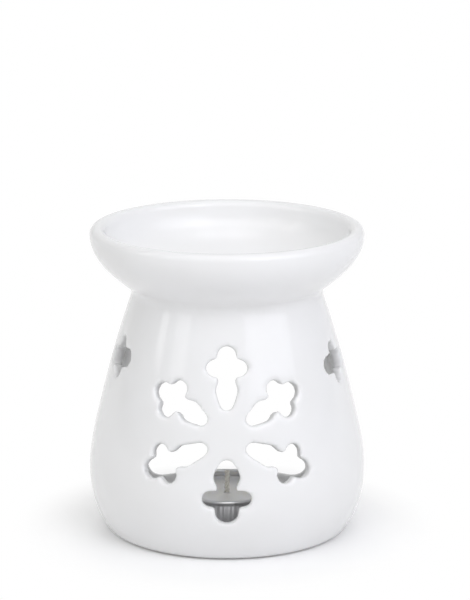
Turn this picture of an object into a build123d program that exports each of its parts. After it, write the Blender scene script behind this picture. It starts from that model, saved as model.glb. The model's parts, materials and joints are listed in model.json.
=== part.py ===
"""Essential oil burner: a slip-cast ceramic body with a fixed oil dish, and the tealight that heats it.

The body is a hollow pear-shaped shell with a snowflake cut through its front, a small vent in each side
and an arched opening at the back, where the tealight goes in. The dish is a second casting that sits in
the collar at the neck. The front looks along -Y, Z is up and the foot stands at Z = 0. Millimetres.
"""

import os
from math import asin, cos, degrees, radians, sin

from build123d import *

os.makedirs("parts", exist_ok=True)

# Body: the turned outline, its wall and its foot
wall = 4.0
floor_thickness = 4.7
base_tuck = 7.0
base_lean = 51.0
base_edge_radius = 5.0
belly_radius = 47.0
belly_height = 20.5
shoulder_radius = 43.3
shoulder_height = 44.0
neck_radius = 32.2
neck_height = 82.3
neck_lean = 19.0
neck_fillet = 2.0
joint_height = 86.0
floor_corner_radius = 2.0
foot_ring_width = 7.0
foot_recess_depth = 1.2
inner_point_shares = (0.0, 0.1, 0.2, 0.35, 0.5, 0.65, 0.8, 0.9, 1.0)

# Body: the six arms of the snowflake, from the top one round to the right
flake_height = 44.6
arm_reach = 22.0
arm_lobe_radius = 2.9
arm_cross_width = 13.7
arm_tip_width = 6.4
arm_tip_reach = 7.3
arm_bar_width = 5.3
arm_stem_width = 7.2
arm_stem_end_width = 4.6
arm_stem_swell = 7.3
arm_stem_reach = 14.0
arm_directions = (90.0, 28.0, -27.0, -90.0, -153.0, 152.0)
arm_reach_shares = (0.94, 0.97, 1.11, 0.99, 1.11, 0.97)
arm_tip_shares = (1.0, 1.0, 1.12, 1.15, 1.12, 1.0)
arm_stem_shares = (1.0, 1.0, 1.12, 0.94, 1.12, 1.0)
arm_width_shares = (1.0, 1.0, 1.0, 1.2, 1.0, 1.0)

# Body: the two side vents, left and right, and the opening at the back
vent_half_width = 8.6
vent_half_height = 7.0
vent_lobe_radius = 3.0
vent_heights = (63.0, 61.2)
vent_azimuths = (-71.0, 71.0)
vent_turns = (8.0, 0.0)
opening_half_width = 28.0
opening_sill_height = 7.3
opening_spring_height = 20.0
opening_top_height = 55.0
opening_corner_radius = 4.5

# Body: the softened corners and rims of all cut-outs
cut_corner_radius = 0.8
cut_rim_radius = 0.6

# Oil dish
dish_slope = 38.0
rim_radius = 46.25
rim_height = 104.9
lip_radius = 2.4
spigot_depth = 3.0
spigot_clearance = 0.3
spigot_edge_radius = 1.5
dish_side_share = 0.42
bowl_floor_share = 0.72
bowl_side_share = 0.71

# Tealight: cup, wax, wick and the wick's metal foot
tealight_forward = 19.0
cup_radius = 19.0
cup_height = 15.0
cup_wall = 0.4
cup_corner_radius = 1.2
cup_rim_radius = 0.6
wax_clearance = 0.05
wax_drop = 2.0
wax_dip = 0.6
wick_radius = 0.9
wick_stand = 7.0
wick_tip_radius = 0.4
sustainer_radius = 6.25
sustainer_thickness = 0.4
sustainer_neck_radius = 1.9
sustainer_neck_height = 4.0

# Length by which a cutter passes the face that it cuts
overrun = 5.0

# The body's side from the base to the neck, as one curve of radius against height
base_radius = belly_radius - base_tuck
base_heading = Vector(cos(radians(base_lean)), sin(radians(base_lean)))
neck_heading = Vector(-sin(radians(neck_lean)), cos(radians(neck_lean)))
with BuildLine() as side_line:
    side = Spline(
        (base_radius, 0),
        (belly_radius, belly_height),
        (shoulder_radius, shoulder_height),
        (neck_radius, neck_height),
        tangents=(base_heading, neck_heading),
    )


def side_point(height):
    """Point of the side curve at a height, as (radius, height)."""
    return side.find_intersection_points(Axis((0, height), (1, 0)))[0]


def wall_plane(azimuth, height, turn):
    """Plane on the body's outer face that looks out of it, its X axis turned up from level."""
    point = side_point(height)
    rising = side % side.param_at_point(point)
    around = Vector(sin(radians(azimuth)), -cos(radians(azimuth)), 0)
    level = Vector(cos(radians(azimuth)), sin(radians(azimuth)), 0)
    upward = around * rising.X + Vector(0, 0, rising.Y)
    along = level * cos(radians(turn)) + upward * sin(radians(turn))
    return Plane(around * point.X + Vector(0, 0, height), x_dir=along, z_dir=level.cross(upward))


def soften_corners():
    """Round the inner corners of the outline being drawn, by growing it and shrinking it again."""
    offset(amount=cut_corner_radius, mode=Mode.REPLACE)
    offset(amount=-cut_corner_radius, mode=Mode.REPLACE)


def soften_rims(direction):
    """Round both rims of the cut just made, and leave its edges that run through the wall."""
    fillet(edges(Select.LAST).filter_by(direction, reverse=True), cut_rim_radius)


def arm_outline(tip_share, stem_share, width_share):
    """Outline of one arm about its crosspiece: three round lobes and a stem that tapers inward."""
    tip_radius = arm_tip_width * width_share / 2
    tip_center = arm_tip_reach * tip_share - tip_radius
    lobe_offset = arm_cross_width * width_share / 2 - arm_lobe_radius
    swell_radius = arm_stem_width * width_share / 2
    swell_center = -arm_stem_swell
    end_radius = arm_stem_end_width * width_share / 2
    end_center = end_radius - arm_stem_reach * stem_share
    taper = asin((swell_radius - end_radius) / (swell_center - end_center))
    swell_touch = (swell_center - swell_radius * sin(taper), swell_radius * cos(taper))
    end_touch = (end_center - end_radius * sin(taper), end_radius * cos(taper))
    with BuildSketch() as outline:
        with BuildLine():
            Polyline((swell_center, 0), swell_touch, end_touch, (end_center, 0))
            mirror(about=Plane.XZ)
        make_face()
        with Locations((swell_center, 0)):
            Circle(swell_radius)
        with Locations((end_center, 0)):
            Circle(end_radius)
        with Locations((swell_center / 2, 0)):
            Rectangle(-swell_center, arm_bar_width * width_share)
        with Locations((tip_center / 2, 0)):
            Rectangle(tip_center, arm_tip_width * width_share)
        with Locations((tip_center, 0)):
            Circle(tip_radius)
        SlotCenterToCenter(lobe_offset * 2, arm_lobe_radius * 2, rotation=90)
        soften_corners()
    return outline.sketch


def vent_outline():
    """Outline of a side vent: a cross of four round lobes."""
    with BuildSketch() as outline:
        SlotOverall(vent_half_width * 2, vent_lobe_radius * 2)
        SlotOverall(vent_half_height * 2, vent_lobe_radius * 2, rotation=90)
        soften_corners()
    return outline.sketch


# Ceramic body, cast as one shell and pierced before it is fired
inner_points = []
for share in inner_point_shares:
    rising = side % share
    inner_points.append((side @ share) + Vector(-rising.Y, rising.X) * wall)
bore_radius = inner_points[-1].X
recess_radius = base_radius - foot_ring_width
with BuildPart() as burner_body:
    with BuildSketch(Plane.YZ) as body_section:
        with BuildLine():
            add(side_line.line)
            neck = JernArc(side @ 1, side % 1, neck_fillet, dish_slope - neck_lean - 90)
            flare_rise = joint_height - (neck @ 1).Y
            flare = PolarLine(neck @ 1, flare_rise, dish_slope, length_mode=LengthMode.VERTICAL)
            Polyline(flare @ 1, (0, joint_height), (0, 0), (base_radius, 0))
        make_face()
        fillet(body_section.vertices().group_by(Axis.Y)[0].sort_by(Axis.X)[-1], base_edge_radius)
        with Locations((recess_radius / 2, 0)):
            Rectangle(recess_radius, foot_recess_depth * 2, mode=Mode.SUBTRACT)
    revolve(axis=Axis.Z)
    with BuildSketch(Plane.YZ) as cavity_section:
        with BuildLine():
            inner_side = Spline(*inner_points)
            cavity_top = joint_height + overrun
            Polyline(
                inner_side @ 1,
                (bore_radius, cavity_top),
                (0, cavity_top),
                (0, (inner_side @ 0).Y),
                inner_side @ 0,
            )
        make_face()
        with Locations((belly_radius / 2, floor_thickness / 2)):
            Rectangle(belly_radius, floor_thickness, mode=Mode.SUBTRACT)
        fillet(cavity_section.vertices().group_by(Axis.Y)[0].sort_by(Axis.X)[-1], floor_corner_radius)
    revolve(axis=Axis.Z, mode=Mode.SUBTRACT)

    for direction, reach_share, tip_share, stem_share, width_share in zip(
        arm_directions, arm_reach_shares, arm_tip_shares, arm_stem_shares, arm_width_shares
    ):
        arm_height = flake_height + arm_reach * reach_share * sin(radians(direction))
        arm_across = arm_reach * reach_share * cos(radians(direction))
        arm_azimuth = degrees(arm_across / side_point(arm_height).X)
        arm_plane = wall_plane(arm_azimuth, arm_height, direction)
        with BuildSketch(arm_plane):
            add(arm_outline(tip_share, stem_share, width_share))
        extrude(amount=wall + overrun, both=True, mode=Mode.SUBTRACT)
        soften_rims(Axis(arm_plane.origin, arm_plane.z_dir))
    for azimuth, height, turn in zip(vent_azimuths, vent_heights, vent_turns):
        vent_plane = wall_plane(azimuth, height, turn)
        with BuildSketch(vent_plane):
            add(vent_outline())
        extrude(amount=wall + overrun, both=True, mode=Mode.SUBTRACT)
        soften_rims(Axis(vent_plane.origin, vent_plane.z_dir))
    with BuildSketch(Plane.XZ) as arch_section:
        with BuildLine():
            arch = EllipticalCenterArc(
                (0, opening_spring_height),
                opening_half_width,
                opening_top_height - opening_spring_height,
                arc_size=180,
            )
            Polyline(
                arch @ 1,
                (-opening_half_width, opening_sill_height),
                (opening_half_width, opening_sill_height),
                arch @ 0,
            )
        make_face()
        fillet(arch_section.vertices().group_by(Axis.Y)[0], opening_corner_radius)
    extrude(amount=-(belly_radius + overrun), mode=Mode.SUBTRACT)
    soften_rims(Axis.Y)
burner_body.part.label = "burner_body"
export_step(burner_body.part, "parts/burner_body.step")

# Oil dish, a second casting that sits in the collar of the neck and is glazed over with the body
joint_radius = (flare @ 1).X
lip_center = Vector(rim_radius - lip_radius, rim_height - lip_radius)
dish_rise = lip_center.Y - joint_height
spigot_radius = bore_radius - spigot_clearance
spigot_bottom = joint_height - spigot_depth
bowl_floor = spigot_bottom + wall
bowl_radius = lip_center.X - lip_radius
bowl_depth = lip_center.Y - bowl_floor
slope_heading = Vector(cos(radians(dish_slope)), sin(radians(dish_slope)))
with BuildPart() as oil_dish:
    with BuildSketch(Plane.YZ) as dish_section:
        with BuildLine():
            joint_point = Vector(joint_radius, joint_height)
            Bezier(
                joint_point,
                joint_point + slope_heading * dish_rise * dish_side_share,
                (rim_radius, lip_center.Y - dish_rise * dish_side_share),
                (rim_radius, lip_center.Y),
            )
            CenterArc(lip_center, lip_radius, 0, 180)
            bowl = Bezier(
                (bowl_radius, lip_center.Y),
                (bowl_radius, lip_center.Y - bowl_depth * bowl_side_share),
                (bowl_radius * bowl_floor_share, bowl_floor),
                (0, bowl_floor),
            )
            Polyline(
                bowl @ 1,
                (0, spigot_bottom),
                (spigot_radius, spigot_bottom),
                (spigot_radius, joint_height),
                joint_point,
            )
        make_face()
        fillet(dish_section.vertices().group_by(Axis.Y)[0].sort_by(Axis.X)[-1], spigot_edge_radius)
    revolve(axis=Axis.Z)
oil_dish.part.label = "oil_dish"
export_step(oil_dish.part, "parts/oil_dish.step")

# Tealight pieces are turned about an axis in front of the middle of the chamber floor
tealight_plane = Plane((0, -tealight_forward, floor_thickness), x_dir=(1, 0, 0), z_dir=(0, -1, 0))
tealight_axis = Axis((0, -tealight_forward, 0), (0, 0, 1))
cup_side_radius = cup_radius - cup_rim_radius
cup_side_height = cup_height - cup_rim_radius
wax_radius = cup_side_radius - cup_wall - wax_clearance
wax_top = cup_height - wax_drop
wick_hole_radius = wick_radius + wax_clearance

# Pressed aluminium cup with a rolled rim
with BuildPart() as tealight_cup:
    with BuildSketch(tealight_plane):
        with BuildLine():
            FilletPolyline(
                (0, 0),
                (cup_side_radius, 0),
                (cup_side_radius, cup_side_height),
                radius=cup_corner_radius,
            )
            offset(amount=cup_wall, side=Side.LEFT)
        make_face()
        with Locations((cup_side_radius, cup_side_height)):
            Circle(cup_rim_radius)
    revolve(axis=tealight_axis)
tealight_cup.part.label = "tealight_cup"
export_step(tealight_cup.part, "parts/tealight_cup.step")

# Tin foot that holds the wick upright on the bottom of the cup
sustainer_top = cup_wall + sustainer_thickness
sustainer_neck_top = cup_wall + sustainer_neck_height
with BuildPart() as wick_sustainer:
    with BuildSketch(tealight_plane):
        with BuildLine():
            Polyline(
                (wick_hole_radius, cup_wall),
                (sustainer_radius, cup_wall),
                (sustainer_radius, sustainer_top),
                (sustainer_neck_radius, sustainer_top),
                (sustainer_neck_radius, sustainer_neck_top),
                (wick_hole_radius, sustainer_neck_top),
                close=True,
            )
        make_face()
    revolve(axis=tealight_axis)
wick_sustainer.part.label = "wick_sustainer"
export_step(wick_sustainer.part, "parts/wick_sustainer.step")

# Braided wick, from the bottom of the cup to above the wax
with BuildPart() as tealight_wick:
    wick_top = wax_top + wick_stand
    with BuildSketch(tealight_plane) as wick_section:
        with BuildLine():
            Polyline(
                (0, cup_wall),
                (wick_radius, cup_wall),
                (wick_radius, wick_top),
                (0, wick_top),
                close=True,
            )
        make_face()
        fillet(wick_section.vertices().group_by(Axis.Y)[-1].sort_by(Axis.X)[-1], wick_tip_radius)
    revolve(axis=tealight_axis)
tealight_wick.part.label = "tealight_wick"
export_step(tealight_wick.part, "parts/tealight_wick.step")

# Wax, cast in the cup round the wick and its foot, with a slight dip at the wick
with BuildPart() as tealight_wax:
    with BuildSketch(tealight_plane) as wax_section:
        with BuildLine():
            surface = Bezier(
                (wick_hole_radius, wax_top - wax_dip),
                (wax_radius / 2, wax_top - wax_dip),
                (wax_radius, wax_top),
            )
            Polyline(
                surface @ 1,
                (wax_radius, cup_wall),
                (sustainer_radius + wax_clearance, cup_wall),
                (sustainer_radius + wax_clearance, sustainer_top + wax_clearance),
                (sustainer_neck_radius + wax_clearance, sustainer_top + wax_clearance),
                (sustainer_neck_radius + wax_clearance, sustainer_neck_top + wax_clearance),
                (wick_hole_radius, sustainer_neck_top + wax_clearance),
                surface @ 0,
            )
        make_face()
        fillet(wax_section.vertices().group_by(Axis.Y)[0].sort_by(Axis.X)[-1], cup_corner_radius)
    revolve(axis=tealight_axis)
tealight_wax.part.label = "tealight_wax"
export_step(tealight_wax.part, "parts/tealight_wax.step")
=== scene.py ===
import json
from math import acos, atan2, cos, degrees, radians, sin, tau

import bmesh
import bpy
from mathutils import Matrix, Vector, noise
from mathutils.geometry import interpolate_bezier

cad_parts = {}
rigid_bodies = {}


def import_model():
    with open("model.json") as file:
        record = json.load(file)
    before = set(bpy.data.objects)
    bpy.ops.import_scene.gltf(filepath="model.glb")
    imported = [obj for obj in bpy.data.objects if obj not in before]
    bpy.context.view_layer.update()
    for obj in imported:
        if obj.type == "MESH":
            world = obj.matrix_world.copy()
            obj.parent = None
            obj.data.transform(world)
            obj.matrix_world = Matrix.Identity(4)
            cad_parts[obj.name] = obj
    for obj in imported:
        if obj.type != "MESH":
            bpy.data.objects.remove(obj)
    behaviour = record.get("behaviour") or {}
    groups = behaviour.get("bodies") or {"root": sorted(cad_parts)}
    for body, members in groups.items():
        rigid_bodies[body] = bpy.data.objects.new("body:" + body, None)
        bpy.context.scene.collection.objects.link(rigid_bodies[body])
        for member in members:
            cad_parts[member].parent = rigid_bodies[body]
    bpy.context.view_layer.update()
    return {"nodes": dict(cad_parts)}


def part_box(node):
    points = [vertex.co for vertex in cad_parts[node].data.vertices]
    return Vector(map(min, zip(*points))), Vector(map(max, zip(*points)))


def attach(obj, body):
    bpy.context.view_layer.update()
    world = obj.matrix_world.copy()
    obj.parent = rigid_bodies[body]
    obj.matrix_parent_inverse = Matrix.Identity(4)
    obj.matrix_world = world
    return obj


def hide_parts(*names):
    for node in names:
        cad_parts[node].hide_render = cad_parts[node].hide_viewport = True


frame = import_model()


# Ceramic body
# A slip-cast pear-shaped shell with a thick floor. The snowflake, the side vents and the arch at the
# back are cut by hand while the clay is soft, and the white glaze it is dipped in rounds every rim.
body_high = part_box("burner_body")[1]
belly_radius = body_high.x
joint_height = body_high.z
wall = 0.0040
floor_top = 0.0047
floor_round = 0.0020
foot_recess = 0.0012
foot_inner_radius = 0.0330
base_round = 0.0050
base_round_start = 0.0376
neck_round = 0.0030
flare_slope = 38.0
flare_spare = 0.0030
side_detail = 24
corner_detail = 8
floor_detail = 6
turn_steps = 240
merge_distance = 1e-6

# A point of the side is its radius and height, and each has its lean from level in degrees
side_points = ((0.0400, 0.0), (0.0470, 0.0205), (0.0433, 0.0440), (0.03243, 0.08163))
side_leans = (51.0, 89.1, 103.5, 109.0)


def heading(lean):
    """Direction in the outline's plane that rises from level by a lean in degrees."""
    return Vector((cos(radians(lean)), 0, sin(radians(lean))))


def bow(start, start_lean, end, end_lean, count):
    """Points of a smooth bow that leaves one point and arrives at another with the given leans."""
    reach = (end - start).length / 3
    start_pull = start + heading(start_lean) * reach
    end_pull = end - heading(end_lean) * reach
    return interpolate_bezier(start, start_pull, end_pull, end, count)


def arc(center, radius, first, last, count):
    """Points of an arc from one angle to another, in degrees."""
    step = (last - first) / (count - 1)
    return [center + heading(first + step * index) * radius for index in range(count)]


def turned(outline, steps=turn_steps):
    """Closed mesh turned about the upright axis from an outline that starts and ends on it."""
    shape = bmesh.new()
    verts = [shape.verts.new(point) for point in outline]
    edges = [shape.edges.new(pair) for pair in zip(verts, verts[1:])]
    bmesh.ops.spin(shape, geom=verts + edges, axis=(0, 0, 1), angle=tau, steps=steps, use_merge=True)
    bmesh.ops.remove_doubles(shape, verts=shape.verts, dist=merge_distance)
    bmesh.ops.recalc_face_normals(shape, faces=shape.faces)
    return shape


def object_of(name, shape):
    """Object in the scene made from a finished mesh."""
    mesh = bpy.data.meshes.new(name)
    shape.to_mesh(mesh)
    shape.free()
    made = bpy.data.objects.new(name, mesh)
    bpy.context.scene.collection.objects.link(made)
    return made


# The side runs from the base over the belly and shoulder to the neck, where it turns out into the flare
knots = [Vector((radius, 0, height)) for radius, height in side_points]
side = [knots[0]]
for index in range(len(knots) - 1):
    stretch = bow(knots[index], side_leans[index], knots[index + 1], side_leans[index + 1], side_detail)
    side += stretch[1:]
neck_center = knots[-1] + heading(side_leans[-1] - 90) * neck_round
neck = arc(neck_center, neck_round, side_leans[-1] + 90, flare_slope + 90, corner_detail)
flare_length = (joint_height + flare_spare - neck[-1].z) / sin(radians(flare_slope))
flare_top = neck[-1] + heading(flare_slope) * flare_length
flare_joint = flare_top - heading(flare_slope) * flare_spare / sin(radians(flare_slope))
base_center = Vector((base_round_start, 0, base_round))
base = arc(base_center, base_round, -90, side_leans[0] - 90, corner_detail)
outside = base + [point for point in side if point.z > base[-1].z] + neck[1:] + [flare_top]

# The inside follows the side at one wall's distance, down to the rounded edge of the floor
inside = []
for lower, upper in zip(side, side[1:]):
    along = (upper - lower).normalized()
    inside.append((lower + upper) / 2 + Vector((-along.z, 0, along.x)) * wall)
inside = [point for point in inside if point.z > floor_top + floor_round]
inside.append(Vector((inside[-1].x, 0, flare_top.z)))
floor_center = Vector((inside[0].x - floor_round, 0, floor_top + floor_round))
floor_edge = arc(floor_center, floor_round, 0, -90, floor_detail)
foot_edge = Vector((foot_inner_radius, 0, 0))
foot = [Vector((0, 0, foot_recess)), foot_edge + Vector((0, 0, foot_recess)), foot_edge]
body_outline = foot + outside + inside[::-1] + floor_edge + [Vector((0, 0, floor_top))]

# Each cut goes straight through the wall, as one round-ended slot, a few that cross, or an arch
cut_depth = wall * 2
hole_detail = 65
cutters = bpy.data.collections.new("cutters")


def pierce(place, points, depth=cut_depth):
    """Cutter whose section is the hull of points drawn on a place, carried in and out from it."""
    shape = bmesh.new()
    for offset in (-depth, depth):
        for point in points:
            shape.verts.new(place @ (point + Vector((0, offset, 0))))
    bmesh.ops.remove_doubles(shape, verts=shape.verts, dist=merge_distance)
    bmesh.ops.convex_hull(shape, input=shape.verts)
    loose = [vert for vert in shape.verts if not vert.link_faces]
    bmesh.ops.delete(shape, geom=loose, context="VERTS")
    bmesh.ops.recalc_face_normals(shape, faces=shape.faces)
    cutter = object_of("cutter", shape)
    cutters.objects.link(cutter)
    bpy.context.scene.collection.objects.unlink(cutter)


def slot_points(x, z, radius, other_x, other_z, other_radius):
    """Points round a slot with two round ends."""
    points = arc(Vector((x, 0, z)), radius, 0, 360, hole_detail)
    return points + arc(Vector((other_x, 0, other_z)), other_radius, 0, 360, hole_detail)


def side_at(height):
    """Radius of the side at a height, and how far it tips from upright there."""
    upper = next(index for index, point in enumerate(side) if point.z >= height)
    step = side[upper] - side[upper - 1]
    point = side[upper - 1] + step * (height - side[upper - 1].z) / step.z
    return point.x, atan2(step.x, step.z)


def on_wall(azimuth, height, turn):
    """Place on the outer face of the wall, with its X axis turned up from level."""
    radius, tip = side_at(height)
    stand = Matrix.Rotation(azimuth, 4, "Z") @ Matrix.Translation((0, -radius, height))
    return stand @ Matrix.Rotation(tip, 4, "X") @ Matrix.Rotation(-radians(turn), 4, "Y")


# Snowflake: six arms, each a crosspiece, a tip, a bar and a stem that narrows towards the middle.
# A row holds an arm's direction and the shares of its reach, tip, stem and width.
flake_height = 0.0446
arm_reach = 0.0220
lobe_radius = 0.0029
cross_width = 0.0137
tip_width = 0.0064
tip_reach = 0.0073
bar_width = 0.0053
stem_width = 0.0072
stem_end_width = 0.0046
stem_swell = 0.0073
stem_reach = 0.0140
arms = (
    (90.0, 0.94, 1.0, 1.0, 1.0),
    (28.0, 0.97, 1.0, 1.0, 1.0),
    (-27.0, 1.11, 1.12, 1.12, 1.0),
    (-90.0, 0.99, 1.15, 0.94, 1.2),
    (-153.0, 1.11, 1.12, 1.12, 1.0),
    (152.0, 0.97, 1.0, 1.0, 1.0),
)
for direction, reach_share, tip_share, stem_share, width_share in arms:
    height = flake_height + arm_reach * reach_share * sin(radians(direction))
    azimuth = arm_reach * reach_share * cos(radians(direction)) / side_at(height)[0]
    place = on_wall(azimuth, height, direction)
    lobe = cross_width * width_share / 2 - lobe_radius
    tip_radius = tip_width * width_share / 2
    tip = tip_reach * tip_share - tip_radius
    bar_radius = bar_width * width_share / 2
    stem_radius = stem_width * width_share / 2
    end_radius = stem_end_width * width_share / 2
    end = end_radius - stem_reach * stem_share
    pierce(place, slot_points(0, lobe, lobe_radius, 0, -lobe, lobe_radius))
    pierce(place, slot_points(0, 0, tip_radius, tip, 0, tip_radius))
    pierce(place, slot_points(0, 0, bar_radius, -stem_swell, 0, bar_radius))
    pierce(place, slot_points(-stem_swell, 0, stem_radius, end, 0, end_radius))

# Side vents: a cross of four lobes each. A row holds the azimuth, the height and the turn.
vents = ((-71.0, 0.0630, 8.0), (71.0, 0.0612, 0.0))
vent_half_width = 0.0086
vent_half_height = 0.0070
vent_lobe_radius = 0.0030
for azimuth, height, turn in vents:
    place = on_wall(radians(azimuth), height, turn)
    lobe = vent_half_width - vent_lobe_radius
    pierce(place, slot_points(-lobe, 0, vent_lobe_radius, lobe, 0, vent_lobe_radius))
    lobe = vent_half_height - vent_lobe_radius
    pierce(place, slot_points(0, -lobe, vent_lobe_radius, 0, lobe, vent_lobe_radius))

# Arch at the back, where the tealight goes in over a low sill
arch_half_width = 0.0280
arch_sill = 0.0073
arch_spring = 0.0200
arch_top = 0.0550
arch_corner = 0.0045
arch_corner_detail = 12
arch_rise = arch_top - arch_spring
arch_points = []
for point in arc(Vector(), 1, 0, 180, hole_detail):
    arch_points.append(Vector((point.x * arch_half_width, 0, arch_spring + point.z * arch_rise)))
for sign, first in ((-1, -180), (1, -90)):
    corner = Vector((sign * (arch_half_width - arch_corner), 0, arch_sill + arch_corner))
    arch_points += arc(corner, arch_corner, first, first + 90, arch_corner_detail)
pierce(Matrix.Translation((0, belly_radius, 0)), arch_points, belly_radius)

# The glaze runs into a fine even skin over the cut clay. The rims of the arch, which the fingers touch,
# are wiped rounder than the others, and the top is trimmed flat for the dish.
glaze_grain = 0.00084
glaze_rounding_passes = 5
sponge_passes = 26
sponge_strength = 0.5
wiped_from = belly_radius / 2
former = object_of("former", turned(body_outline))
cutting = former.modifiers.new("cutting", "BOOLEAN")
cutting.operation = "DIFFERENCE"
cutting.operand_type = "COLLECTION"
cutting.collection = cutters
cutting.solver = "MANIFOLD"
skin = former.modifiers.new("skin", "REMESH")
skin.mode = "VOXEL"
skin.voxel_size = glaze_grain
rounding = former.modifiers.new("rounding", "SMOOTH")
rounding.iterations = glaze_rounding_passes
glazed = bmesh.new()
glazed.from_object(former, bpy.context.evaluated_depsgraph_get())
bpy.data.objects.remove(former)
for cutter in list(cutters.objects):
    bpy.data.objects.remove(cutter)
bpy.data.collections.remove(cutters)
wiped = []
for vert in glazed.verts:
    if vert.co.y > wiped_from and floor_top < vert.co.z < arch_top + wall:
        wiped.append(vert)
for sponge_pass in range(sponge_passes):
    bmesh.ops.smooth_vert(
        glazed,
        verts=wiped,
        factor=sponge_strength,
        use_axis_x=True,
        use_axis_y=True,
        use_axis_z=True,
    )
trimmed = bmesh.ops.bisect_plane(
    glazed,
    geom=glazed.verts[:] + glazed.edges[:] + glazed.faces[:],
    plane_co=(0, 0, joint_height),
    plane_no=(0, 0, 1),
    clear_outer=True,
)
rims = [item for item in trimmed["geom_cut"] if isinstance(item, bmesh.types.BMEdge)]
for vert in {vert for edge in rims for vert in edge.verts}:
    across = vert.co.xy.length
    if across > flare_joint.x - wall / 2:
        vert.co.xy *= flare_joint.x / across
bmesh.ops.bridge_loops(glazed, edges=rims)


def connect(made, inputs):
    """Give a node its inputs, each a value or another node's output."""
    for name, value in inputs.items():
        if isinstance(value, bpy.types.NodeSocket):
            made.id_data.links.new(value, made.inputs[name])
        else:
            made.inputs[name].default_value = value


def node(tree, kind, inputs=None, **settings):
    """New node of a kind with its settings and its inputs."""
    made = tree.nodes.new(kind)
    for name, value in settings.items():
        setattr(made, name, value)
    connect(made, inputs or {})
    return made


def effect(name, inputs):
    """New node group that works out one value from some numbers, and the sockets of those numbers."""
    group = bpy.data.node_groups.new(name, "ShaderNodeTree")
    for socket in inputs:
        group.interface.new_socket(socket, in_out="INPUT", socket_type="NodeSocketFloat")
    group.interface.new_socket("Value", in_out="OUTPUT", socket_type="NodeSocketFloat")
    return group, node(group, "NodeGroupInput").outputs


def placed(tree, group, numbers):
    """Value of an effect placed in a material with its own numbers."""
    return node(tree, "ShaderNodeGroup", numbers, node_tree=group).outputs["Value"]


# Unevenness that every piece here shows, as a value that drifts between a least and a most. The scale is
# clouds to a metre.
cloud_start = 0.3
cloud_end = 0.7
uneven, given = effect("uneven", ("Scale", "Detail", "Least", "Most"))
coordinates = node(uneven, "ShaderNodeTexCoord")
cloud = node(
    uneven,
    "ShaderNodeTexNoise",
    {"Vector": coordinates.outputs["Object"], "Scale": given["Scale"], "Detail": given["Detail"]},
)
ranged = node(
    uneven,
    "ShaderNodeMapRange",
    {
        "Value": cloud.outputs["Fac"],
        "From Min": cloud_start,
        "From Max": cloud_end,
        "To Min": given["Least"],
        "To Max": given["Most"],
    },
)
node(uneven, "NodeGroupOutput", {"Value": ranged.outputs["Result"]})


def material_of(name):
    """New material, with its node tree and its shader."""
    material = bpy.data.materials.new(name)
    material.use_nodes = True
    return material, material.node_tree, material.node_tree.nodes["Principled BSDF"]


def blended(tree, share, first, second):
    """Colour that goes from the first to the second as the share goes from 0 to 1."""
    # A mix of colours takes them at its sockets 6 and 7 and gives the result at its socket 2
    inputs = {"Factor": share, 6: first, 7: second}
    return node(tree, "ShaderNodeMix", inputs, data_type="RGBA").outputs[2]


def relief(tree, height, depth):
    """Normal of a surface whose relief has a height from 0 to 1 and a real depth."""
    return node(tree, "ShaderNodeBump", {"Height": height, "Distance": depth}).outputs["Normal"]


def finished(name, shape, material, sharp_angle=50):
    """Piece in its material, smooth but for edges that turn by more than an angle in degrees."""
    made = object_of(name, shape)
    made.data.shade_smooth()
    made.data.set_sharp_from_angle(angle=radians(sharp_angle))
    made.data.materials.append(material)
    return made


# White glaze, a little thinner here and there, with the slow ripple of a dipped coat. The foot is
# wiped bare.
glaze_thick_color = (0.915, 0.917, 0.920, 1)
glaze_thin_color = (0.895, 0.895, 0.893, 1)
bare_clay_color = (0.780, 0.750, 0.700, 1)
glaze_thinning = {"Scale": 40, "Detail": 2, "Least": 0, "Most": 1}
glaze_roughness = {"Scale": 70, "Detail": 3, "Least": 0.09, "Most": 0.15}
glaze_ripple = {"Scale": 45, "Detail": 1, "Least": 0, "Most": 1}
glaze_ripple_depth = 0.00006
bare_height = 0.0004
bare_extra_roughness = 0.6
white_glaze, tree, shader = material_of("white_glaze")
coordinates = node(tree, "ShaderNodeTexCoord")
axes = node(tree, "ShaderNodeSeparateXYZ", {"Vector": coordinates.outputs["Object"]})
bare = node(
    tree,
    "ShaderNodeMapRange",
    {"Value": axes.outputs["Z"], "From Min": bare_height, "From Max": bare_height / 2, "To Max": 1},
)
coat = blended(tree, placed(tree, uneven, glaze_thinning), glaze_thick_color, glaze_thin_color)
roughness = node(
    tree,
    "ShaderNodeMath",
    {0: bare.outputs["Result"], 1: bare_extra_roughness, 2: placed(tree, uneven, glaze_roughness)},
    operation="MULTIPLY_ADD",
)
connect(
    shader,
    {
        "Base Color": blended(tree, bare.outputs["Result"], coat, bare_clay_color),
        "Roughness": roughness.outputs[0],
        "Normal": relief(tree, placed(tree, uneven, glaze_ripple), glaze_ripple_depth),
    },
)
body_piece = finished("glazed_body", glazed, white_glaze)
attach(body_piece, "burner")
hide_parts("burner_body")


# Oil dish
# A shallow bowl with a round lip, cast by itself, stuck into the neck of the body with slip and glazed
# over together with it, so that no seam shows.
dish_low, dish_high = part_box("oil_dish")
lip_radius = 0.0024
spigot_clearance = 0.0003
spigot_round = 0.0015
dish_side_share = 0.42
bowl_floor_share = 0.72
bowl_side_share = 0.71
underside_detail = 40
bowl_detail = 48
lip_detail = 24
dish_sharp_angle = 30
lip_center = Vector((dish_high.x - lip_radius, 0, dish_high.z - lip_radius))
dish_rise = lip_center.z - joint_height
rim_side = Vector((dish_high.x, 0, lip_center.z))
underside = interpolate_bezier(
    flare_joint,
    flare_joint + heading(flare_slope) * dish_rise * dish_side_share,
    rim_side - Vector((0, 0, dish_rise * dish_side_share)),
    rim_side,
    underside_detail,
)
bowl_edge = lip_center - Vector((lip_radius, 0, 0))
bowl_floor = Vector((0, 0, dish_low.z + wall))
bowl_depth = bowl_edge.z - bowl_floor.z
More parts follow.
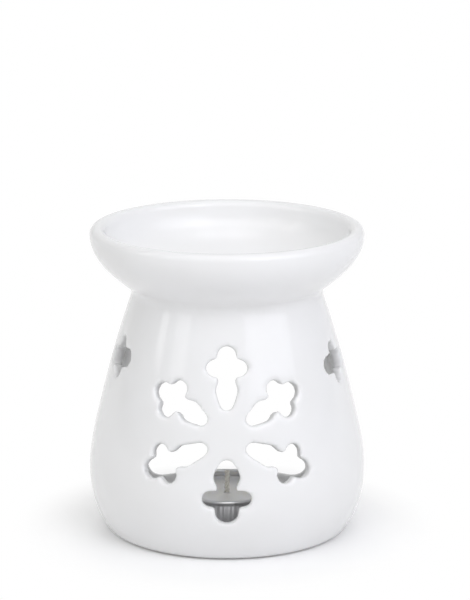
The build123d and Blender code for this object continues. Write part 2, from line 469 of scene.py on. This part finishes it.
bowl = interpolate_bezier(
    bowl_edge,
    bowl_edge - Vector((0, 0, bowl_depth * bowl_side_share)),
    bowl_floor + Vector((bowl_edge.x * bowl_floor_share, 0, 0)),
    bowl_floor,
    bowl_detail,
)
spigot_radius = inside[-1].x - spigot_clearance
spigot_center = Vector((spigot_radius - spigot_round, 0, dish_low.z + spigot_round))
spigot = arc(spigot_center, spigot_round, -90, 0, corner_detail)
spigot.append(Vector((spigot_radius, 0, joint_height)))
lip = arc(lip_center, lip_radius, 0, 180, lip_detail)
dish_outline = [Vector((0, 0, dish_low.z))] + spigot + underside + lip[1:] + bowl[1:]
dish_piece = finished("glazed_dish", turned(dish_outline), white_glaze, dish_sharp_angle)
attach(dish_piece, "burner")
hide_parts("oil_dish")


# Tealight cup
# A cup pressed from thin aluminium sheet, with fine flutes drawn into its side and a rolled rim. It
# stands loose on the floor of the body and holds the wax.
cup_low, cup_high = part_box("tealight_cup")
cup_middle = (cup_low + cup_high) / 2
tealight_stand = Matrix.Translation((cup_middle.x, cup_middle.y, cup_low.z))
cup_height = cup_high.z - cup_low.z
cup_sheet = 0.0004
cup_rim = 0.0006
cup_corner = 0.0012
cup_side = cup_high.x - cup_middle.x - cup_rim
flute_count = 72
flute_depth = 0.00024
flute_end = 0.0015
flute_rows = 12
flute_steps = 6
rim_detail = 28
no_sharp_angle = 180
rim_center = Vector((cup_side, 0, cup_height - cup_rim))
corner_center = Vector((cup_side - cup_corner, 0, cup_corner))
flute_top = rim_center.z - cup_rim
flute_row = (flute_top - cup_corner) / flute_rows
rise = [Vector((cup_side, 0, cup_corner + flute_row * row)) for row in range(1, flute_rows)]
rim_end = 360 - degrees(acos(-cup_sheet / cup_rim))
cup_outline = [Vector()] + arc(corner_center, cup_corner, -90, 0, corner_detail) + rise
cup_outline += arc(rim_center, cup_rim, -90, rim_end, rim_detail)
cup_outline += arc(corner_center, cup_corner - cup_sheet, 0, -90, corner_detail)
cup_outline.append(Vector((0, 0, cup_sheet)))
cup = turned(cup_outline, flute_count * flute_steps)
for vert in cup.verts:
    across = vert.co.xy.length
    room = min(vert.co.z - cup_corner, flute_top - vert.co.z)
    if across > cup_side - cup_sheet / 2 and room > 0:
        wave = (1 + cos(flute_count * atan2(vert.co.y, vert.co.x))) / 2
        vert.co.xy *= 1 - flute_depth * wave * min(room / flute_end, 1) / across
bmesh.ops.transform(cup, matrix=tealight_stand, verts=cup.verts)

# Streaks drawn out along the upright axis, as press lines and combed fibres are. The stretch is the
# share of the scale that is left along that axis.
streaks, given = effect("streaks", ("Scale", "Detail", "Stretch"))
coordinates = node(streaks, "ShaderNodeTexCoord")
stretched = node(streaks, "ShaderNodeCombineXYZ", {"X": 1, "Y": 1, "Z": given["Stretch"]})
drawn = node(
    streaks,
    "ShaderNodeMapping",
    {"Vector": coordinates.outputs["Object"], "Scale": stretched.outputs["Vector"]},
)
lines = node(
    streaks,
    "ShaderNodeTexNoise",
    {"Vector": drawn.outputs["Vector"], "Scale": given["Scale"], "Detail": given["Detail"]},
)
node(streaks, "NodeGroupOutput", {"Value": lines.outputs["Fac"]})

# Bright sheet with the fine upright lines of the drawing press
aluminium_light = (0.880, 0.880, 0.885, 1)
aluminium_dull = (0.830, 0.830, 0.840, 1)
aluminium_clouding = {"Scale": 250, "Detail": 3, "Least": 0, "Most": 1}
aluminium_roughness = {"Scale": 400, "Detail": 3, "Least": 0.34, "Most": 0.46}
press_lines = {"Scale": 2500, "Detail": 2, "Stretch": 0.04}
press_line_depth = 0.00003
pressed_aluminium, tree, shader = material_of("pressed_aluminium")
clouding = placed(tree, uneven, aluminium_clouding)
connect(
    shader,
    {
        "Metallic": 1,
        "Base Color": blended(tree, clouding, aluminium_light, aluminium_dull),
        "Roughness": placed(tree, uneven, aluminium_roughness),
        "Normal": relief(tree, placed(tree, streaks, press_lines), press_line_depth),
    },
)
cup_piece = finished("pressed_cup", cup, pressed_aluminium, no_sharp_angle)
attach(cup_piece, "tealight")
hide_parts("tealight_cup")


# Wick sustainer
# The stamped tin foot that is crimped to the wick and keeps it upright on the bottom of the cup. The CAD
# solid has its shape, so it only gets its finish: dull tin with the fine grain of stamped sheet.
tin_light = (0.720, 0.720, 0.730, 1)
tin_dull = (0.600, 0.600, 0.610, 1)
tin_clouding = {"Scale": 300, "Detail": 4, "Least": 0, "Most": 1}
tin_roughness = {"Scale": 900, "Detail": 3, "Least": 0.35, "Most": 0.55}
tin_grain = {"Scale": 2000, "Detail": 2, "Least": 0, "Most": 1}
tin_grain_depth = 0.00002
tinned_steel, tree, shader = material_of("tinned_steel")
connect(
    shader,
    {
        "Metallic": 1,
        "Base Color": blended(tree, placed(tree, uneven, tin_clouding), tin_light, tin_dull),
        "Roughness": placed(tree, uneven, tin_roughness),
        "Normal": relief(tree, placed(tree, uneven, tin_grain), tin_grain_depth),
    },
)
sustainer = frame["nodes"]["wick_sustainer"]
sustainer.material_slots[0].material = tinned_steel


# Wick
# Three cotton strands twisted together and waxed, so that the wick stands up by itself. It runs from the
# tin foot up through the wax.
wick_low, wick_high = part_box("tealight_wick")
wick_middle = (wick_low + wick_high) / 2
wick_radius = (wick_high.x - wick_low.x) / 2
wick_length = wick_high.z - wick_low.z
wick_turns = 5
strand_count = 3
strand_share = 0.52
strand_sides = 14
strand_radius = wick_radius * strand_share
strand_offset = wick_radius - strand_radius
twist_steps = 90
wick = bmesh.new()
for strand in range(strand_count):
    ring = bmesh.ops.create_circle(wick, segments=strand_sides, radius=strand_radius)["verts"]
    bmesh.ops.translate(wick, verts=ring, vec=(strand_offset, 0, 0))
    turn = Matrix.Rotation(tau * strand / strand_count, 3, "Z")
    bmesh.ops.rotate(wick, verts=ring, matrix=turn)
    loop = list({edge for vert in ring for edge in vert.link_edges})
    bmesh.ops.contextual_create(wick, geom=loop)
    swept = bmesh.ops.spin(
        wick,
        geom=ring + loop,
        axis=(0, 0, 1),
        dvec=(0, 0, wick_length / twist_steps),
        angle=tau * wick_turns,
        steps=twist_steps,
    )
    end_loop = [item for item in swept["geom_last"] if isinstance(item, bmesh.types.BMEdge)]
    bmesh.ops.contextual_create(wick, geom=end_loop)
bmesh.ops.recalc_face_normals(wick, faces=wick.faces)
bmesh.ops.translate(wick, verts=wick.verts, vec=(wick_middle.x, wick_middle.y, wick_low.z))

# Waxed cotton: cream, with fibres that run along the strands
cotton_light = (0.870, 0.850, 0.790, 1)
cotton_shade = (0.740, 0.710, 0.630, 1)
cotton_sheen = 0.2
cotton_fibres = {"Scale": 6000, "Detail": 2, "Stretch": 0.2}
cotton_fibre_depth = 0.00008
cotton_roughness = {"Scale": 900, "Detail": 2, "Least": 0.45, "Most": 0.7}
cotton_wick, tree, shader = material_of("cotton_wick")
fibres = placed(tree, streaks, cotton_fibres)
connect(
    shader,
    {
        "Sheen Weight": cotton_sheen,
        "Base Color": blended(tree, fibres, cotton_shade, cotton_light),
        "Roughness": placed(tree, uneven, cotton_roughness),
        "Normal": relief(tree, fibres, cotton_fibre_depth),
    },
)
wick_piece = finished("twisted_wick", wick, cotton_wick)
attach(wick_piece, "tealight")
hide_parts("tealight_wick")


# Wax
# White paraffin poured round the wick and its foot. It creeps up a little at the cup and the wick as it
# sets, and shrinks into a shallow dip between them.
wax_low, wax_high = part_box("tealight_wax")
sustainer_low, sustainer_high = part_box("wick_sustainer")
wax_radius = (wax_high.x - wax_low.x) / 2
wax_height = wax_high.z - wax_low.z
wax_gap = 0.00005
wax_corner = cup_corner
wax_dip = 0.0007
wax_creep = 0.0012
wax_creep_lean = 80
wax_ripple = 0.00008
wax_ripple_scale = 180
cup_creep_detail = 10
wick_creep_detail = 8
dip_detail = 24
sustainer_radius = (sustainer_high.x - sustainer_low.x) / 2
sustainer_sheet = 0.0004
sustainer_neck_radius = 0.0019
sustainer_top = sustainer_high.z - sustainer_low.z
hole_radius = wick_radius + wax_gap
wax_edge = Vector((wax_radius, 0, wax_height))
wax_dish = Vector((wax_radius - wax_creep, 0, wax_height - wax_dip))
wick_dish = Vector((hole_radius + wax_creep, 0, wax_height - wax_dip))
wick_edge = Vector((hole_radius, 0, wax_height - wax_dip / 2))
wax_outline = [
    Vector((hole_radius, 0, sustainer_top + wax_gap)),
    Vector((sustainer_neck_radius + wax_gap, 0, sustainer_top + wax_gap)),
    Vector((sustainer_neck_radius + wax_gap, 0, sustainer_sheet + wax_gap)),
    Vector((sustainer_radius + wax_gap, 0, sustainer_sheet + wax_gap)),
    Vector((sustainer_radius + wax_gap, 0, 0)),
]
wax_corner_center = Vector((wax_radius - wax_corner, 0, wax_corner))
wax_outline += arc(wax_corner_center, wax_corner, -90, 0, corner_detail)
wax_outline += bow(wax_edge, -wax_creep_lean, wax_dish, -180, cup_creep_detail)
wax_outline += [wax_dish.lerp(wick_dish, step / dip_detail) for step in range(1, dip_detail)]
wax_outline += bow(wick_dish, 180, wick_edge, 180 - wax_creep_lean, wick_creep_detail)
wax = turned(wax_outline + wax_outline[:1])
for vert in wax.verts:
    if vert.co.z > wax_height / 2 and hole_radius < vert.co.xy.length < wax_radius - wax_creep / 2:
        vert.co.z += wax_ripple * noise.noise(vert.co * wax_ripple_scale)
bmesh.ops.translate(wax, verts=wax.verts, vec=(cup_middle.x, cup_middle.y, wax_low.z))

# Paraffin: cloudy white, with the light going a little way in
paraffin_clear = (0.930, 0.925, 0.900, 1)
paraffin_cloudy = (0.890, 0.885, 0.860, 1)
paraffin_clouding = {"Scale": 160, "Detail": 4, "Least": 0, "Most": 1}
paraffin_roughness = {"Scale": 220, "Detail": 3, "Least": 0.3, "Most": 0.45}
paraffin_relief = {"Scale": 700, "Detail": 3, "Least": 0, "Most": 1}
paraffin_relief_depth = 0.00004
paraffin_glow = 0.6
paraffin_glow_shares = (0.9, 0.85, 0.7)
paraffin_glow_depth = 0.002
white_wax, tree, shader = material_of("white_wax")
clouding = placed(tree, uneven, paraffin_clouding)
connect(
    shader,
    {
        "Subsurface Weight": paraffin_glow,
        "Subsurface Radius": paraffin_glow_shares,
        "Subsurface Scale": paraffin_glow_depth,
        "Base Color": blended(tree, clouding, paraffin_clear, paraffin_cloudy),
        "Roughness": placed(tree, uneven, paraffin_roughness),
        "Normal": relief(tree, placed(tree, uneven, paraffin_relief), paraffin_relief_depth),
    },
)
wax_piece = finished("poured_wax", wax, white_wax)
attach(wax_piece, "tealight")
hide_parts("tealight_wax")


# Studio floor
# A wide sheet of white paper under the burner. It shows the soft shadow round the foot, and further off
# it is plain white. The light that it throws back at the burner is that of plain paper.
floor_half_width = 4.0
shadow_reach = 0.044
white_reach = 0.075
plain_paper_color = (0.85, 0.85, 0.85, 1)
shaded_paper_color = (0.90, 0.90, 0.90, 1)
shaded_paper_glow = 0.10
plain_white = 1.0
shape = bmesh.new()
bmesh.ops.create_grid(shape, x_segments=1, y_segments=1, size=floor_half_width)
floor = object_of("studio_floor", shape)


def largest(tree, shares):
    """Largest of some shares."""
    found = shares[0]
    for share in shares[1:]:
        found = node(tree, "ShaderNodeMath", {0: found, 1: share}, operation="MAXIMUM").outputs[0]
    return found


white_paper, tree, shader = material_of("white_paper")
tree.nodes.remove(shader)
rays = node(tree, "ShaderNodeLightPath").outputs
seen = largest(tree, (rays["Is Camera Ray"], rays["Is Glossy Ray"], rays["Is Transmission Ray"]))
coordinates = node(tree, "ShaderNodeTexCoord")
away = node(tree, "ShaderNodeVectorMath", {0: coordinates.outputs["Object"]}, operation="LENGTH")
far = node(
    tree,
    "ShaderNodeMapRange",
    {"Value": away.outputs["Value"], "From Min": shadow_reach, "From Max": white_reach},
    interpolation_type="SMOOTHSTEP",
)
plain = node(tree, "ShaderNodeBsdfDiffuse", {"Color": plain_paper_color})
shaded = node(tree, "ShaderNodeBsdfDiffuse", {"Color": shaded_paper_color})
glow = node(tree, "ShaderNodeEmission", {"Strength": shaded_paper_glow})
near = node(tree, "ShaderNodeAddShader", {0: shaded.outputs[0], 1: glow.outputs[0]})
white = node(tree, "ShaderNodeEmission", {"Strength": plain_white})
shown = node(
    tree,
    "ShaderNodeMixShader",
    {"Fac": far.outputs["Result"], 1: near.outputs[0], 2: white.outputs[0]},
)
mixed = node(tree, "ShaderNodeMixShader", {"Fac": seen, 1: plain.outputs[0], 2: shown.outputs[0]})
connect(tree.nodes["Material Output"], {"Surface": mixed.outputs[0]})
floor.data.materials.append(white_paper)


# Studio light
# A pale room with a white backdrop, which the glaze mirrors. Two soft boxes stand side by side at the
# left and a wide cooler one at the right. One hangs on a boom above the front, a small one overhead,
# and one behind lights the chamber through the arch.
room_strength = 0.40
backdrop_edge = 0.3
backdrop_full = 0.7
backdrop_share = 0.65
plain_light = (1, 1, 1)
cool_light = (0.90, 0.91, 1.0)
world = bpy.data.worlds.new("pale_room")
world.use_nodes = True
bpy.context.scene.world = world
tree = world.node_tree
tree.nodes.clear()
rays = node(tree, "ShaderNodeLightPath").outputs
coordinates = node(tree, "ShaderNodeTexCoord")
axes = node(tree, "ShaderNodeSeparateXYZ", {"Vector": coordinates.outputs["Generated"]})
behind = node(
    tree,
    "ShaderNodeMapRange",
    {
        "Value": axes.outputs["Y"],
        "From Min": backdrop_edge,
        "From Max": backdrop_full,
        "To Max": backdrop_share,
    },
)
mirrored = node(
    tree,
    "ShaderNodeMath",
    {0: rays["Is Glossy Ray"], 1: behind.outputs["Result"]},
    operation="MULTIPLY",
)
seen = largest(tree, (mirrored.outputs[0], rays["Is Camera Ray"], rays["Is Transmission Ray"]))
room = node(tree, "ShaderNodeBackground", {"Color": (*plain_light, 1), "Strength": room_strength})
white = node(tree, "ShaderNodeBackground", {"Color": (*plain_light, 1), "Strength": plain_white})
mixed = node(tree, "ShaderNodeMixShader", {"Fac": seen, 1: room.outputs[0], 2: white.outputs[0]})
node(tree, "ShaderNodeOutputWorld", {"Surface": mixed.outputs[0]})

# A row holds a soft box's azimuth from the front, elevation, distance, width, height, power and colour
soft_boxes = {
    "soft_box_left_far": (-75, 32, 1.0, 0.15, 0.73, 0.70, plain_light),
    "soft_box_left_near": (-50.5, 32, 1.0, 0.26, 0.73, 0.68, plain_light),
    "soft_box_right": (47, 32, 1.0, 0.93, 0.73, 3.3, cool_light),
    "soft_box_boom": (5, 46, 1.0, 1.30, 0.60, 2.8, plain_light),
    "soft_box_top": (0, 86, 1.0, 0.60, 0.60, 1.1, plain_light),
    "soft_box_back": (180, 18, 0.8, 0.45, 0.30, 1.6, plain_light),
}
lit_point = Vector((0, 0, joint_height / 2))
for name, (azimuth, elevation, distance, width, height, power, color) in soft_boxes.items():
    lamp = bpy.data.lights.new(name, "AREA")
    lamp.shape = "RECTANGLE"
    lamp.size = width
    lamp.size_y = height
    lamp.energy = power
    lamp.color = color
    soft_box = bpy.data.objects.new(name, lamp)
    bpy.context.scene.collection.objects.link(soft_box)
    ahead = Vector((0, -cos(radians(elevation)), sin(radians(elevation))))
    soft_box.location = lit_point + Matrix.Rotation(radians(azimuth), 3, "Z") @ ahead * distance
    soft_box.rotation_euler = (lit_point - soft_box.location).to_track_quat("-Z", "Y").to_euler()

# The glaze doesn't mirror the box behind, which would wash out the ends of the lip
bpy.data.objects["soft_box_back"].visible_glossy = False


# Camera
# A long lens about a metre away, a little above the burner and tipped down to it. The picture keeps the
# colours as they are lit.
camera_place = (0.0027, -0.9916, 0.3176)
camera_tip = 13.52
sensor_width = 36
lens_length = 180.8
camera = bpy.data.objects.new("camera", bpy.data.cameras.new("camera"))
bpy.context.scene.collection.objects.link(camera)
camera.location = camera_place
camera.rotation_euler = (radians(90 - camera_tip), 0, 0)
camera.data.sensor_width = sensor_width
camera.data.lens = lens_length
bpy.context.scene.camera = camera
bpy.context.scene.view_settings.view_transform = "Standard"
